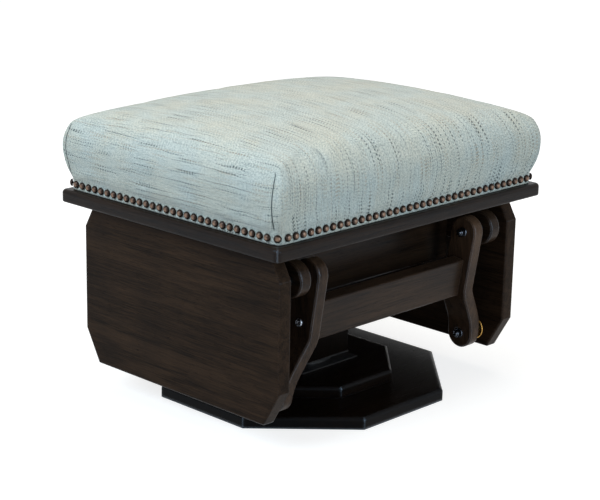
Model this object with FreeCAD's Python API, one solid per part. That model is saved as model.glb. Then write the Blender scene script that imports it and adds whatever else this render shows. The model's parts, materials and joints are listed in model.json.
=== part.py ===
import FreeCAD, Part
import math
import os

# Glider ottoman. An upholstered seat hangs on four goose-neck links from a
# frame that turns on an octagonal base.
# Millimetres. X runs side to side, Y from the open front (-Y) to the rear and
# Z up from the floor. The origin is on the floor, on the swivel axis.

# Octagonal base
LOWER_BASE_FLATS = 457.0
UPPER_BASE_FLATS = 294.0
BASE_PLATE_THICKNESS = 20.2
BASE_EDGE_ROUND = 5.0

# Swivel bearing
SWIVEL_PLATE_THICKNESS = 2.5
SWIVEL_LOWER_SIDE = 132.0
SWIVEL_RACE_RADIUS = 50.0
SWIVEL_RACE_HEIGHT = 6.4
KING_BOLT_RADIUS = 7.0
KING_BOLT_HEAD_FLATS = 22.0
KING_BOLT_HEAD_HEIGHT = 8.0

# Standing frame: pedestal, platform, cross boards and side rails
PEDESTAL_SIDE = 110.0
PEDESTAL_BOARD = 20.0
PLATFORM_LENGTH = 300.0
PLATFORM_THICKNESS = 22.0
CROSS_BOARD_THICKNESS = 22.0
CROSS_BOARD_HEIGHT = 88.0
CROSS_BOARD_SETBACK = 66.0
CROSS_BOARD_TOP_STEP = 3.0
SIDE_RAIL_HEIGHT = 56.0
SIDE_RAIL_THICKNESS = 22.0
BOARD_EDGE_ROUND = 2.5
EASED_EDGE = 2.0

# Seat frame: side panels and mitred top
TOP_LENGTH = 620.0
TOP_DEPTH = 490.0
TOP_THICKNESS = 21.0
TOP_RAIL_WIDTH = 75.0
TOP_CORNER_RADIUS = 9.0
TOP_UPPER_ROUND = 6.0
TOP_LOWER_ROUND = 3.0
TOP_SIDE_OVERHANG = 30.0
TOP_END_OVERHANG = 24.0
PANEL_THICKNESS = 25.0
PANEL_FLOOR_GAP = 46.0
PANEL_LOWER_CHAMFER_WIDTH = 31.0
PANEL_LOWER_CHAMFER_HEIGHT = 54.0
PANEL_UPPER_CHAMFER_HEIGHT = 40.4
PANEL_EDGE_ROUND = 3.0
CLEAT_WIDTH = 14.0
CLEAT_HEIGHT = 18.0
CLEAT_LENGTH = 300.0

# Goose-neck links and the stretchers between them
LINK_LENGTH = 192.4
LINK_LEAN = 9.0
LINK_WIDTH = 50.0
LINK_THICKNESS = 22.0
NECK_STEP = 40.5
NECK_SLOPE = 31.0
NECK_UPPER_RADIUS = 45.0
NECK_LOWER_RADIUS = 80.0
NECK_RISE = 15.2
LOWER_PIVOT_RISE = 27.0
PIVOT_HEADROOM = 49.4
PANEL_TO_LINK_GAP = 19.5
LINK_TO_RAIL_GAP = 18.0
STRETCHER_DROP = 78.0
STRETCHER_HEIGHT = 64.0
STRETCHER_THICKNESS = 24.0

# Pivots: stepped bolts in the side rails, stepped studs in the side panels
PIVOT_RADIUS = 4.0
SHOULDER_RADIUS = 8.0
NUT_FLATS = 13.0
NUT_HEIGHT = 8.0
BOLT_HEAD_FLATS = 19.0
BOLT_HEAD_HEIGHT = 5.0
SPOT_FACE_RADIUS = 10.0
SPOT_FACE_DEPTH = 1.3
INSERT_RADIUS = 6.5
INSERT_DEPTH = 15.0
INSERT_FLANGE_RADIUS = 9.5
INSERT_FLANGE_HEIGHT = 1.5

# Upholstery
SEAT_BOARD_THICKNESS = 18.0
COVER_INSET = 10.0
COVER_SKIN = 4.0
FOAM_INSET = 30.0
FOAM_HEIGHT = 78.0
CUSHION_FOOT_RADIUS = 16.0
CUSHION_SHOULDER_RADIUS = 32.0
CUSHION_SIDE_HEIGHT = 98.0
CUSHION_SHOULDER_INSET = 6.4
CUSHION_BULGE = 8.5
CUSHION_CROWN = 35.0
CUSHION_CENTRE_DEPTH = 100.0
CUSHION_SIDE_ROWS = 5
CUSHION_CROWN_ROWS = 5

# Clearances
RUNNING_CLEARANCE = 0.06
FIXED_CLEARANCE = 0.04
END_PLAY = 0.3
OPEN_PIVOT_CLEARANCE = 1.9

# Heights and places that follow from the sizes above
BASE_TOP = 2 * BASE_PLATE_THICKNESS
SWIVEL_RACE_BASE = BASE_TOP + SWIVEL_PLATE_THICKNESS
SWIVEL_RACE_TOP = SWIVEL_RACE_BASE + SWIVEL_RACE_HEIGHT
SWIVEL_PLATE_UNDERSIDE = SWIVEL_RACE_TOP + END_PLAY
PEDESTAL_FOOT = SWIVEL_PLATE_UNDERSIDE + SWIVEL_PLATE_THICKNESS

LEAN = math.radians(LINK_LEAN)
PANEL_OUTER = TOP_LENGTH / 2 - TOP_SIDE_OVERHANG
PANEL_INNER = PANEL_OUTER - PANEL_THICKNESS
PANEL_HALF_DEPTH = TOP_DEPTH / 2 - TOP_END_OVERHANG
LOWER_PIVOT_Z = PANEL_FLOOR_GAP + LOWER_PIVOT_RISE
UPPER_PIVOT_Z = LOWER_PIVOT_Z + LINK_LENGTH * math.cos(LEAN)
UPPER_PIVOT_Y = PANEL_HALF_DEPTH - SIDE_RAIL_HEIGHT / 2
LOWER_PIVOT_Y = UPPER_PIVOT_Y - LINK_LENGTH * math.sin(LEAN)
TOP_UNDERSIDE = UPPER_PIVOT_Z + PIVOT_HEADROOM
TOP_SURFACE = TOP_UNDERSIDE + TOP_THICKNESS
SEAT_BOARD_TOP = TOP_SURFACE + SEAT_BOARD_THICKNESS

LINK_LOWER_OUTER = PANEL_INNER - PANEL_TO_LINK_GAP
LINK_LOWER_INNER = LINK_LOWER_OUTER - LINK_THICKNESS
LINK_UPPER_INNER = LINK_LOWER_INNER - NECK_STEP
LINK_UPPER_OUTER = LINK_UPPER_INNER + LINK_THICKNESS
RAIL_INNER = LINK_UPPER_OUTER + LINK_TO_RAIL_GAP
RAIL_OUTER = RAIL_INNER + SIDE_RAIL_THICKNESS
RAIL_TOP = UPPER_PIVOT_Z + SIDE_RAIL_HEIGHT / 2

CROSS_BOARD_FACE = UPPER_PIVOT_Y - CROSS_BOARD_SETBACK
CROSS_BOARD_TOP = RAIL_TOP - CROSS_BOARD_TOP_STEP
PLATFORM_TOP = CROSS_BOARD_TOP - CROSS_BOARD_HEIGHT
PLATFORM_UNDERSIDE = PLATFORM_TOP - PLATFORM_THICKNESS

X_AXIS = FreeCAD.Vector(1, 0, 0)
Y_AXIS = FreeCAD.Vector(0, 1, 0)
Z_AXIS = FreeCAD.Vector(0, 0, 1)
ORIGIN = FreeCAD.Vector(0, 0, 0)


def box(x0, x1, y0, y1, z0, z1):
    return Part.makeBox(x1 - x0, y1 - y0, z1 - z0, FreeCAD.Vector(x0, y0, z0))


def rod_x(x0, x1, y, z, radius):
    return Part.makeCylinder(radius, x1 - x0, FreeCAD.Vector(x0, y, z), X_AXIS)


def rod_z(z0, z1, radius):
    return Part.makeCylinder(radius, z1 - z0, FreeCAD.Vector(0, 0, z0), Z_AXIS)


def polygon_face(points):
    return Part.Face(Part.makePolygon(points + [points[0]]))


def regular_polygon(sides, flats):
    """A face at Z = 0, round the Z axis, with one flat square to X."""
    corner = flats / 2 / math.cos(math.pi / sides)
    turns = [math.pi / sides * (2 * step + 1) for step in range(sides)]
    return polygon_face([FreeCAD.Vector(corner * math.cos(t), corner * math.sin(t), 0) for t in turns])


def hexagon_x(x0, x1, y, z, flats):
    """A hexagonal prism along X, with corners up and down."""
    prism = regular_polygon(6, flats).extrude(FreeCAD.Vector(0, 0, x1 - x0))
    prism.rotate(ORIGIN, Y_AXIS, 90)
    prism.rotate(ORIGIN, X_AXIS, 90)
    prism.translate(FreeCAD.Vector(x0, y, z))
    return prism


def mirror_x(shape):
    return shape.mirror(ORIGIN, X_AXIS)


def mirror_y(shape):
    return shape.mirror(ORIGIN, Y_AXIS)


def all_corners(shape):
    sides = [shape, mirror_x(shape)]
    return sides + [mirror_y(side) for side in sides]


def cut_all(shape, tools):
    for tool in tools:
        shape = shape.cut(tool)
    return shape


def is_line_along(edge, axis):
    if not isinstance(edge.Curve, Part.Line):
        return False
    return abs(edge.tangentAt(edge.FirstParameter).dot(axis)) > 0.999


def lies_at(edge, axis_name, place):
    low = getattr(edge.BoundBox, axis_name + "Min")
    high = getattr(edge.BoundBox, axis_name + "Max")
    return abs(low - place) < 0.01 and abs(high - place) < 0.01


def rounded_edges(shape, radius, wanted):
    return shape.makeFillet(radius, [edge for edge in shape.Edges if wanted(edge)])


def eased_edges(shape, wanted):
    return shape.makeChamfer(EASED_EDGE, [edge for edge in shape.Edges if wanted(edge)])


def round_long_edges(board, radius, axis):
    return rounded_edges(board, radius, lambda edge: is_line_along(edge, axis))


def bent_path(vertices, radii):
    """Straight runs joined by tangent arcs: radii[i] rounds vertices[i + 1]."""
    edges = []
    start = vertices[0]
    for index, radius in enumerate(radii):
        vertex = vertices[index + 1]
        back = (vertices[index] - vertex).normalize()
        onward = (vertices[index + 2] - vertex).normalize()
        half_turn = (math.pi - back.getAngle(onward)) / 2
        leg = radius * math.tan(half_turn)
        first = vertex + back * leg
        last = vertex + onward * leg
        inward = (back + onward).normalize()
        middle = vertex + inward * (radius / math.cos(half_turn) - radius)
        edges.append(Part.LineSegment(start, first).toShape())
        edges.append(Part.Arc(first, middle, last).toShape())
        start = last
    edges.append(Part.LineSegment(start, vertices[-1]).toShape())
    return edges


def stadium_face(x, upper, lower, radius):
    """A slot-shaped face square to X, round ends centred on two (y, z) points."""
    top = FreeCAD.Vector(x, upper[0], upper[1])
    bottom = FreeCAD.Vector(x, lower[0], lower[1])
    along = (bottom - top).normalize()
    across = X_AXIS.cross(along)
    side_a = Part.LineSegment(top + across * radius, bottom + across * radius)
    side_b = Part.LineSegment(bottom - across * radius, top - across * radius)
    bottom_arc = Part.Arc(bottom + across * radius, bottom + along * radius, bottom - across * radius)
    top_arc = Part.Arc(top - across * radius, top - along * radius, top + across * radius)
    edges = [curve.toShape() for curve in (side_a, bottom_arc, side_b, top_arc)]
    return Part.Face(Part.Wire(edges))


# Base

def base_plate(flats, z):
    plate = regular_polygon(8, flats).extrude(FreeCAD.Vector(0, 0, BASE_PLATE_THICKNESS))
    plate.translate(FreeCAD.Vector(0, 0, z))
    top = z + BASE_PLATE_THICKNESS
    return rounded_edges(plate, BASE_EDGE_ROUND, lambda edge: lies_at(edge, "Z", top))


# Swivel bearing

def swivel_lower_plate():
    """A square plate that carries the raised round race."""
    half = SWIVEL_LOWER_SIDE / 2
    plate = box(-half, half, -half, half, BASE_TOP, SWIVEL_RACE_BASE)
    return plate.fuse(rod_z(SWIVEL_RACE_BASE, SWIVEL_RACE_TOP, SWIVEL_RACE_RADIUS))


def king_bolt():
    """Stands on the race and holds the upper plate down under its head."""
    head_seat = PEDESTAL_FOOT + END_PLAY
    head = regular_polygon(6, KING_BOLT_HEAD_FLATS).extrude(FreeCAD.Vector(0, 0, KING_BOLT_HEAD_HEIGHT))
    head.translate(FreeCAD.Vector(0, 0, head_seat))
    return rod_z(SWIVEL_RACE_TOP, head_seat, KING_BOLT_RADIUS).fuse(head)


def swivel_upper_plate():
    half = PEDESTAL_SIDE / 2
    plate = box(-half, half, -half, half, SWIVEL_PLATE_UNDERSIDE, PEDESTAL_FOOT)
    return plate.cut(rod_z(SWIVEL_PLATE_UNDERSIDE, PEDESTAL_FOOT, KING_BOLT_RADIUS + RUNNING_CLEARANCE))


# Standing frame

def pedestal_end_board():
    half = PEDESTAL_SIDE / 2
    board = box(-half, half, -half, -half + PEDESTAL_BOARD, PEDESTAL_FOOT, PLATFORM_UNDERSIDE)
    return eased_edges(board, lambda edge: is_line_along(edge, Z_AXIS) and lies_at(edge, "Y", -half))


def pedestal_side_board():
    half = PEDESTAL_SIDE / 2
    inner = half - PEDESTAL_BOARD
    return box(inner, half, -inner, inner, PEDESTAL_FOOT, PLATFORM_UNDERSIDE)


def platform():
    half = PLATFORM_LENGTH / 2
    return box(-half, half, -CROSS_BOARD_FACE, CROSS_BOARD_FACE, PLATFORM_UNDERSIDE, PLATFORM_TOP)


def cross_board_front():
    rear_face = -CROSS_BOARD_FACE + CROSS_BOARD_THICKNESS
    board = box(-RAIL_INNER, RAIL_INNER, -CROSS_BOARD_FACE, rear_face, PLATFORM_TOP, CROSS_BOARD_TOP)
    return rounded_edges(
        board,
        BOARD_EDGE_ROUND,
        lambda edge: is_line_along(edge, X_AXIS) and lies_at(edge, "Z", CROSS_BOARD_TOP),
    )


def side_rail_right():
    front = (-UPPER_PIVOT_Y, UPPER_PIVOT_Z)
    rear = (UPPER_PIVOT_Y, UPPER_PIVOT_Z)
    face = stadium_face(RAIL_INNER, front, rear, SIDE_RAIL_HEIGHT / 2)
    rail = face.extrude(FreeCAD.Vector(SIDE_RAIL_THICKNESS, 0, 0))
    rail = eased_edges(rail, lambda edge: not is_line_along(edge, X_AXIS))
    bore = rod_x(RAIL_INNER, RAIL_OUTER, -UPPER_PIVOT_Y, UPPER_PIVOT_Z, SHOULDER_RADIUS + FIXED_CLEARANCE)
    return cut_all(rail, [bore, mirror_y(bore)])


# Goose-neck links. Each is drawn at the front right and mirrored.

def neck_profile():
    """Front view of the link, as a face square to Y at Y = 0."""
    margin = LINK_WIDTH
    top = UPPER_PIVOT_Z + margin
    bottom = LOWER_PIVOT_Z - margin
    slope = math.radians(NECK_SLOPE)
    lower_bend = LOWER_PIVOT_Z + NECK_RISE
    upper_bend = lower_bend + NECK_STEP / math.tan(slope)
    lift = LINK_THICKNESS * math.tan(slope / 2)
    inner = [
        FreeCAD.Vector(LINK_UPPER_INNER, 0, top),
        FreeCAD.Vector(LINK_UPPER_INNER, 0, upper_bend),
        FreeCAD.Vector(LINK_LOWER_INNER, 0, lower_bend),
        FreeCAD.Vector(LINK_LOWER_INNER, 0, bottom),
    ]
    outer = [
        FreeCAD.Vector(LINK_LOWER_OUTER, 0, bottom),
        FreeCAD.Vector(LINK_LOWER_OUTER, 0, lower_bend + lift),
        FreeCAD.Vector(LINK_UPPER_OUTER, 0, upper_bend + lift),
        FreeCAD.Vector(LINK_UPPER_OUTER, 0, top),
    ]
    edges = bent_path(inner, [NECK_UPPER_RADIUS, NECK_LOWER_RADIUS])
    edges.append(Part.LineSegment(inner[-1], outer[0]).toShape())
    edges += bent_path(outer, [NECK_LOWER_RADIUS + LINK_THICKNESS, NECK_UPPER_RADIUS - LINK_THICKNESS])
    edges.append(Part.LineSegment(outer[-1], inner[0]).toShape())
    return Part.Face(Part.Wire(edges))


def link_blank():
    """The bar sawn twice: to the goose neck from the front, to the stadium from the side."""
    reach = UPPER_PIVOT_Y + LINK_WIDTH
    neck = neck_profile()
    neck.translate(FreeCAD.Vector(0, -reach, 0))
    neck = neck.extrude(FreeCAD.Vector(0, reach, 0))
    upper = (-UPPER_PIVOT_Y, UPPER_PIVOT_Z)
    lower = (-LOWER_PIVOT_Y, LOWER_PIVOT_Z)
    side = stadium_face(LINK_UPPER_INNER, upper, lower, LINK_WIDTH / 2)
    side = side.extrude(FreeCAD.Vector(NECK_STEP + LINK_THICKNESS, 0, 0))
    blank = neck.common(side)
    return eased_edges(
        blank,
        lambda edge: not is_line_along(edge, X_AXIS) and not is_line_along(edge, Y_AXIS),
    )


def lower_rod(x0, x1, radius):
    return rod_x(x0, x1, -LOWER_PIVOT_Y, LOWER_PIVOT_Z, radius)


def upper_rod(x0, x1, radius):
    return rod_x(x0, x1, -UPPER_PIVOT_Y, UPPER_PIVOT_Z, radius)


def goose_neck_link(lower_clearance):
    """The blank with its eyes, and flat seats for the nut and the shoulder on its curved foot."""
    return cut_all(
        link_blank(),
        [
            lower_rod(LINK_UPPER_INNER, LINK_LOWER_INNER, SPOT_FACE_RADIUS),
            lower_rod(LINK_LOWER_OUTER - SPOT_FACE_DEPTH, PANEL_INNER, SPOT_FACE_RADIUS),
            lower_rod(LINK_LOWER_INNER, LINK_LOWER_OUTER, PIVOT_RADIUS + lower_clearance),
            upper_rod(LINK_UPPER_INNER, LINK_UPPER_OUTER, PIVOT_RADIUS + RUNNING_CLEARANCE),
        ],
    )


def stretcher():
    y = -UPPER_PIVOT_Y + STRETCHER_DROP * math.sin(LEAN)
    z = UPPER_PIVOT_Z - STRETCHER_DROP * math.cos(LEAN)
    half_height = STRETCHER_HEIGHT / 2
    half_thickness = STRETCHER_THICKNESS / 2
    bar = box(
        -LINK_UPPER_INNER,
        LINK_UPPER_INNER,
        y - half_thickness,
        y + half_thickness,
        z - half_height,
        z + half_height,
    )
    bar = round_long_edges(bar, BOARD_EDGE_ROUND, X_AXIS)
    bar.rotate(FreeCAD.Vector(0, y, z), X_AXIS, LINK_LEAN)
    return bar


# Pivot hardware, drawn at the front right

def upper_pivot_bolt():
    """Head outside the side rail, shoulder up to the link, nut on the link's inner face."""
    head = hexagon_x(RAIL_OUTER, RAIL_OUTER + BOLT_HEAD_HEIGHT, -UPPER_PIVOT_Y, UPPER_PIVOT_Z, BOLT_HEAD_FLATS)
    shoulder = upper_rod(LINK_UPPER_OUTER + END_PLAY, RAIL_OUTER, SHOULDER_RADIUS)
    nut_seat = LINK_UPPER_INNER - END_PLAY
    shank = upper_rod(nut_seat, LINK_UPPER_OUTER + END_PLAY, PIVOT_RADIUS)
    nut = hexagon_x(nut_seat - NUT_HEIGHT, nut_seat, -UPPER_PIVOT_Y, UPPER_PIVOT_Z, NUT_FLATS)
    return head.fuse([shoulder, shank, nut])


def lower_pivot_stud():
    """Shoulder between the panel's insert and the link, nut on the link's inner face."""
    shoulder_end = LINK_LOWER_OUTER - SPOT_FACE_DEPTH + END_PLAY
    shoulder = lower_rod(shoulder_end, PANEL_INNER - INSERT_FLANGE_HEIGHT, SHOULDER_RADIUS)
    nut_seat = LINK_LOWER_INNER - END_PLAY
    shank = lower_rod(nut_seat, shoulder_end, PIVOT_RADIUS)
    nut = hexagon_x(nut_seat - NUT_HEIGHT, nut_seat, -LOWER_PIVOT_Y, LOWER_PIVOT_Z, NUT_FLATS)
    return shoulder.fuse([shank, nut])


def panel_insert():
    flange = lower_rod(PANEL_INNER - INSERT_FLANGE_HEIGHT, PANEL_INNER, INSERT_FLANGE_RADIUS)
    return flange.fuse(lower_rod(PANEL_INNER, PANEL_INNER + INSERT_DEPTH, INSERT_RADIUS))


def insert_hole():
    return lower_rod(PANEL_INNER, PANEL_INNER + INSERT_DEPTH + FIXED_CLEARANCE, INSERT_RADIUS + FIXED_CLEARANCE)


# Seat frame

def side_panel_right():
    half = PANEL_HALF_DEPTH
    foot = half - PANEL_LOWER_CHAMFER_WIDTH
    chamfer_slope = PANEL_LOWER_CHAMFER_WIDTH / PANEL_LOWER_CHAMFER_HEIGHT
    head = half - PANEL_UPPER_CHAMFER_HEIGHT * chamfer_slope
    lower_knee = PANEL_FLOOR_GAP + PANEL_LOWER_CHAMFER_HEIGHT
    upper_knee = TOP_UNDERSIDE - PANEL_UPPER_CHAMFER_HEIGHT
    outline = [
        (-foot, PANEL_FLOOR_GAP),
        (foot, PANEL_FLOOR_GAP),
        (half, lower_knee),
        (half, upper_knee),
        (head, TOP_UNDERSIDE),
        (-head, TOP_UNDERSIDE),
        (-half, upper_knee),
        (-half, lower_knee),
    ]
    face = polygon_face([FreeCAD.Vector(PANEL_INNER, y, z) for y, z in outline])
    panel = face.extrude(FreeCAD.Vector(PANEL_THICKNESS, 0, 0))
    panel = rounded_edges(panel, PANEL_EDGE_ROUND, panel_edge_shows)
    return cut_all(panel, [insert_hole(), mirror_y(insert_hole())])


def panel_edge_shows(edge):
    return not is_line_along(edge, X_AXIS) and not lies_at(edge, "Z", TOP_UNDERSIDE)


def panel_cleat_right():
    half = CLEAT_LENGTH / 2
    return box(PANEL_INNER - CLEAT_WIDTH, PANEL_INNER, -half, half, TOP_UNDERSIDE - CLEAT_HEIGHT, TOP_UNDERSIDE)


def rounded_plate(half_x, half_y, radius, z0, z1):
    plate = box(-half_x, half_x, -half_y, half_y, z0, z1)
    return round_long_edges(plate, radius, Z_AXIS)


def top_ring():
    """The whole top frame before it is cut along its mitres."""
    plate = rounded_plate(TOP_LENGTH / 2, TOP_DEPTH / 2, TOP_CORNER_RADIUS, TOP_UNDERSIDE, TOP_SURFACE)
    plate = rounded_edges(plate, TOP_UPPER_ROUND, lambda edge: lies_at(edge, "Z", TOP_SURFACE))
    plate = rounded_edges(plate, TOP_LOWER_ROUND, lambda edge: lies_at(edge, "Z", TOP_UNDERSIDE))
    inner_x = TOP_LENGTH / 2 - TOP_RAIL_WIDTH
    inner_y = TOP_DEPTH / 2 - TOP_RAIL_WIDTH
    return plate.cut(box(-inner_x, inner_x, -inner_y, inner_y, TOP_UNDERSIDE, TOP_SURFACE))


def mitre_wedge(points):
    base = [FreeCAD.Vector(x, y, TOP_UNDERSIDE) for x, y in points]
    return polygon_face(base).extrude(FreeCAD.Vector(0, 0, TOP_THICKNESS))


def top_rail_front():
    x = TOP_LENGTH / 2
    y = TOP_DEPTH / 2
    w = TOP_RAIL_WIDTH
    return top_ring().common(mitre_wedge([(-x, -y), (x, -y), (x - w, -y + w), (-x + w, -y + w)]))


def top_rail_right():
    x = TOP_LENGTH / 2
    y = TOP_DEPTH / 2
    w = TOP_RAIL_WIDTH
    return top_ring().common(mitre_wedge([(x, -y), (x, y), (x - w, y - w), (x - w, -y + w)]))


# Upholstery

def cushion_outline(inset, radius, z):
    """A rounded rectangle at height z, inset from the cushion's foot on every side."""
    half_x = TOP_LENGTH / 2 - COVER_INSET - inset
    half_y = TOP_DEPTH / 2 - COVER_INSET - inset
    centre_x = half_x - radius
    centre_y = half_y - radius
    reach = radius * math.sqrt(0.5)
    edges = []
    for turn, (sx, sy) in enumerate([(1, 1), (-1, 1), (-1, -1), (1, -1)]):
        on_end = FreeCAD.Vector(sx * half_x, sy * centre_y, z)
        on_side = FreeCAD.Vector(sx * centre_x, sy * half_y, z)
        middle = FreeCAD.Vector(sx * (centre_x + reach), sy * (centre_y + reach), z)
        first, last = (on_end, on_side) if turn % 2 == 0 else (on_side, on_end)
        if edges:
            edges.append(Part.LineSegment(edges[-1].Vertexes[-1].Point, first).toShape())
        edges.append(Part.Arc(first, middle, last).toShape())
    edges.append(Part.LineSegment(edges[-1].Vertexes[-1].Point, edges[0].Vertexes[0].Point).toShape())
    return Part.Wire(edges)


def cushion_outlines():
    """From the foot up: a straight band over the seat board, bulging sides, a crowned top."""
    outlines = [cushion_outline(0, CUSHION_FOOT_RADIUS, TOP_SURFACE)]
    shoulder = TOP_SURFACE + CUSHION_SIDE_HEIGHT
    for step in range(CUSHION_SIDE_ROWS):
        part = step / CUSHION_SIDE_ROWS
        bulge = CUSHION_BULGE * math.sin(math.pi * part)
        radius = CUSHION_FOOT_RADIUS + part * (CUSHION_SHOULDER_RADIUS - CUSHION_FOOT_RADIUS)
        height = SEAT_BOARD_TOP + part * (shoulder - SEAT_BOARD_TOP)
        outlines.append(cushion_outline(-bulge, radius, height))
    run = TOP_DEPTH / 2 - COVER_INSET - CUSHION_SHOULDER_INSET - CUSHION_CENTRE_DEPTH / 2
    for step in range(CUSHION_CROWN_ROWS + 1):
        turn = math.pi / 2 * step / CUSHION_CROWN_ROWS
        inset = CUSHION_SHOULDER_INSET + run * (1 - math.cos(turn))
        height = shoulder + CUSHION_CROWN * math.sin(turn)
        outlines.append(cushion_outline(inset, CUSHION_SHOULDER_RADIUS, height))
    return outlines


def cushion_form():
    """Each outline is joined to the next: flat strips along the sides, ruled ones at the corners."""
    outlines = cushion_outlines()
    faces = [Part.Face(outlines[0]), Part.Face(outlines[-1])]
    for lower, upper in zip(outlines, outlines[1:]):
        for low_edge, high_edge in zip(lower.Edges, upper.Edges):
            if isinstance(low_edge.Curve, Part.Line):
                low = [vertex.Point for vertex in low_edge.Vertexes]
                high = [vertex.Point for vertex in high_edge.Vertexes]
                faces.append(polygon_face(low + high[::-1]))
            else:
                faces.append(Part.makeRuledSurface(low_edge, high_edge))
    shell = Part.makeShell(faces)
    shell.sewShape()
    return Part.Solid(shell)


def seat_board():
    half_x = TOP_LENGTH / 2 - COVER_INSET - COVER_SKIN
    half_y = TOP_DEPTH / 2 - COVER_INSET - COVER_SKIN
    return rounded_plate(half_x, half_y, CUSHION_FOOT_RADIUS - COVER_SKIN, TOP_SURFACE, SEAT_BOARD_TOP)


def seat_foam():
    half_x = TOP_LENGTH / 2 - COVER_INSET - FOAM_INSET
    half_y = TOP_DEPTH / 2 - COVER_INSET - FOAM_INSET
    return box(-half_x, half_x, -half_y, half_y, SEAT_BOARD_TOP, SEAT_BOARD_TOP + FOAM_HEIGHT)


def seat_cover():
    """Padding and fabric, closed round the foam and drawn down over the seat board."""
    return cut_all(cushion_form(), [seat_board(), seat_foam()])


def export(name, shape):
    solids = shape if isinstance(shape, list) else [shape]
    solids = [solid for item in solids for solid in item.Solids]
    Part.makeCompound(solids).exportStep("parts/" + name + ".step")


def main():
    os.makedirs("parts", exist_ok=True)

    export("lower_base_plate", base_plate(LOWER_BASE_FLATS, 0))
    export("upper_base_plate", base_plate(UPPER_BASE_FLATS, BASE_PLATE_THICKNESS))
    export("swivel_lower_plate", swivel_lower_plate())
    export("king_bolt", king_bolt())

    export("swivel_upper_plate", swivel_upper_plate())
    export("pedestal_board_front", pedestal_end_board())
    export("pedestal_board_rear", mirror_y(pedestal_end_board()))
    export("pedestal_board_right", pedestal_side_board())
    export("pedestal_board_left", mirror_x(pedestal_side_board()))
    export("platform", platform())
    export("cross_board_front", cross_board_front())
    export("cross_board_rear", mirror_y(cross_board_front()))
    export("side_rail_right", side_rail_right())
    export("side_rail_left", mirror_x(side_rail_right()))
    export("upper_pivot_bolts", all_corners(upper_pivot_bolt()))

    front_link = goose_neck_link(RUNNING_CLEARANCE)
    export("front_link_right", front_link)
    export("front_link_left", mirror_x(front_link))
    export("front_stretcher", stretcher())

    rear_link = mirror_y(goose_neck_link(OPEN_PIVOT_CLEARANCE))
    export("rear_link_right", rear_link)
    export("rear_link_left", mirror_x(rear_link))
    export("rear_stretcher", mirror_y(stretcher()))

    export("side_panel_right", side_panel_right())
    export("side_panel_left", mirror_x(side_panel_right()))
    export("panel_inserts", all_corners(panel_insert()))
    export("lower_pivot_studs", all_corners(lower_pivot_stud()))
    export("panel_cleat_right", panel_cleat_right())
    export("panel_cleat_left", mirror_x(panel_cleat_right()))
    export("top_rail_front", top_rail_front())
    export("top_rail_rear", mirror_y(top_rail_front()))
    export("top_rail_right", top_rail_right())
    export("top_rail_left", mirror_x(top_rail_right()))
    export("seat_board", seat_board())
    export("seat_foam", seat_foam())
    export("seat_cover", seat_cover())


main()
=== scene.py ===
import json
import math

import bmesh
import bpy
from mathutils import Matrix, Vector
from mathutils.bvhtree import BVHTree


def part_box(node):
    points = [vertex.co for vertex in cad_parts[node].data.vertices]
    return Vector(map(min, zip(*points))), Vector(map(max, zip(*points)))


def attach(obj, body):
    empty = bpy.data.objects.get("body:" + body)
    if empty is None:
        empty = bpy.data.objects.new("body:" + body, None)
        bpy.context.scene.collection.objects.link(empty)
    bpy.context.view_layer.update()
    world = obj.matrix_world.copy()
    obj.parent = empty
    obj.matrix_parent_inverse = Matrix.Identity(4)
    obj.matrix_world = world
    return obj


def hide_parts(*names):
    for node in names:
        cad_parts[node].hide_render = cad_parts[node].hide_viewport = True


# Glider ottoman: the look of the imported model. Metres, row frame, Z up.

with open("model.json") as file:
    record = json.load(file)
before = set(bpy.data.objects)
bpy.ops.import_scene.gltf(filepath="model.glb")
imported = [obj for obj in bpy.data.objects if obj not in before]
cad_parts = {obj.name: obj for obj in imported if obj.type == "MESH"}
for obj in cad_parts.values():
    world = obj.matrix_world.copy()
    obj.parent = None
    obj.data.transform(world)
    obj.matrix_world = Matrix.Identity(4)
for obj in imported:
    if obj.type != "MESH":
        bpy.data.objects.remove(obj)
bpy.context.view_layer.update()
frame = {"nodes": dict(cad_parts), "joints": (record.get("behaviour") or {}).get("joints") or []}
scene = bpy.context.scene


# Places that follow from the frame

def joint_place(name):
    return Vector(next(joint["pos_m"] for joint in frame["joints"] if joint["name"] == name))


UPPER_PIVOT = joint_place("front_upper_pivot")
LOWER_PIVOT = joint_place("front_lower_pivot")
LINK_LOW, LINK_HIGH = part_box("front_link_right")
STRETCHER_LOW, STRETCHER_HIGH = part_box("front_stretcher")
PANEL_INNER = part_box("side_panel_right")[0].x
BOARD_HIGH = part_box("seat_board")[1]
TOP_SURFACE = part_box("top_rail_front")[1].z

# Links and their nuts
LINK_THICKNESS = 0.022
LINK_LEAN = math.radians(9.0)
NUT_PLAY = 0.0003
NUT_HEIGHT = 0.008

# Cushion: it stands on the top frame and is nailed to the edge of the seat board, up to BAND_TOP. Its sides
# bulge up to the eave, where the top begins to swell, and its corners stand out and up a little, as ears.
COVER_SKIN = 0.004
FOOT_X = BOARD_HIGH.x + COVER_SKIN
FOOT_Y = BOARD_HIGH.y + COVER_SKIN
FOOT_Z = TOP_SURFACE
BAND_TOP = BOARD_HIGH.z
SIDE_HEIGHT = 0.106
EAVE = FOOT_Z + SIDE_HEIGHT
CROWN = 0.041
CROWN_FULLNESS = 0.45
EDGE_RADIUS = 0.013
FOOT_RADIUS = 0.016
PLAN_RADIUS = 0.021
BULGE = 0.013
BULGE_FULLNESS = 0.8
FLARE = 0.003
EAR = 0.006
EAR_SHARPNESS = 12
CELL = 0.006
SMOOTHING = 4

# Stuffing, as a cloth simulation
PRESSURE = 4.0
STRETCH_STIFFNESS = 25
BEND_STIFFNESS = 2.0
SWELL = 0.012
GRIP_HEIGHT = 0.012
SIM_FRAMES = 20
STEP_CAP = 0.005

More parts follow.
